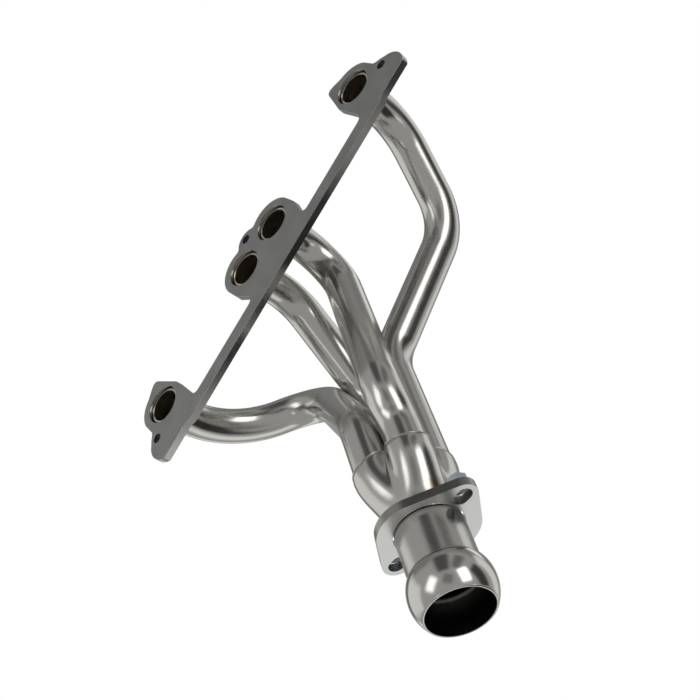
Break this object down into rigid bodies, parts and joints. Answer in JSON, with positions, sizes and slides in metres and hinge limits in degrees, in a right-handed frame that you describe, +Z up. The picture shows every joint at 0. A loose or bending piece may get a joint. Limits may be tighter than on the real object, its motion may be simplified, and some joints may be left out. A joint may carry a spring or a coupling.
{
  "type": "exhaust manifold",
  "caption": "Tubular exhaust manifold that gathers the ports of an inline engine into one outlet with a ball end and a loose swivel flange.",
  "frame": {"origin": "Middle of the port row on the gasket face of the head flange", "axes": "+X along the port row from port 1 to port 4, +Y away from the cylinder head, +Z up with the outlet hanging down"},
  "size_m": [0.4848, 0.185, 0.4856],
  "materials": {
    "polished_stainless": "mirror polished stainless steel",
    "brushed_stainless": "satin brushed stainless steel",
    "blasted_steel": "blasted matte plate steel",
    "cast_steel": "bright cast steel, lightly blasted",
    "weld_metal": "heat tinted weld metal",
    "zinc_plate": "bright zinc plating"
  },
  "bodies": {
    "manifold": {"ball_weld": "weld_metal", "collector": "polished_stainless", "entry_weld_1": "weld_metal", "entry_weld_2": "weld_metal", "entry_weld_3": "weld_metal", "entry_weld_4": "weld_metal", "head_flange": "blasted_steel", "merge_plug": "brushed_stainless", "outlet_ball": "polished_stainless", "outlet_tube": "brushed_stainless", "outlet_weld": "weld_metal", "port_fillet_weld_1": "weld_metal", "port_fillet_weld_2": "weld_metal", "port_fillet_weld_3": "weld_metal", "port_fillet_weld_4": "weld_metal", "port_seal_weld_1": "weld_metal", "port_seal_weld_2": "weld_metal", "port_seal_weld_3": "weld_metal", "port_seal_weld_4": "weld_metal", "primary_tube_1": "polished_stainless", "primary_tube_2": "polished_stainless", "primary_tube_3": "polished_stainless", "primary_tube_4": "polished_stainless"},
    "swivel": {"swivel_flange": "cast_steel", "flange_nut_1": "zinc_plate", "flange_nut_2": "zinc_plate"}
  },
  "joints": [
    {"name": "swivel_turn", "type": "hinge", "parent": "manifold", "child": "swivel", "pos_m": [-0.14297, 0.07721, -0.35263], "axis": [-0.4226, -0.0362, -0.9056], "continuous": true}
  ]
}
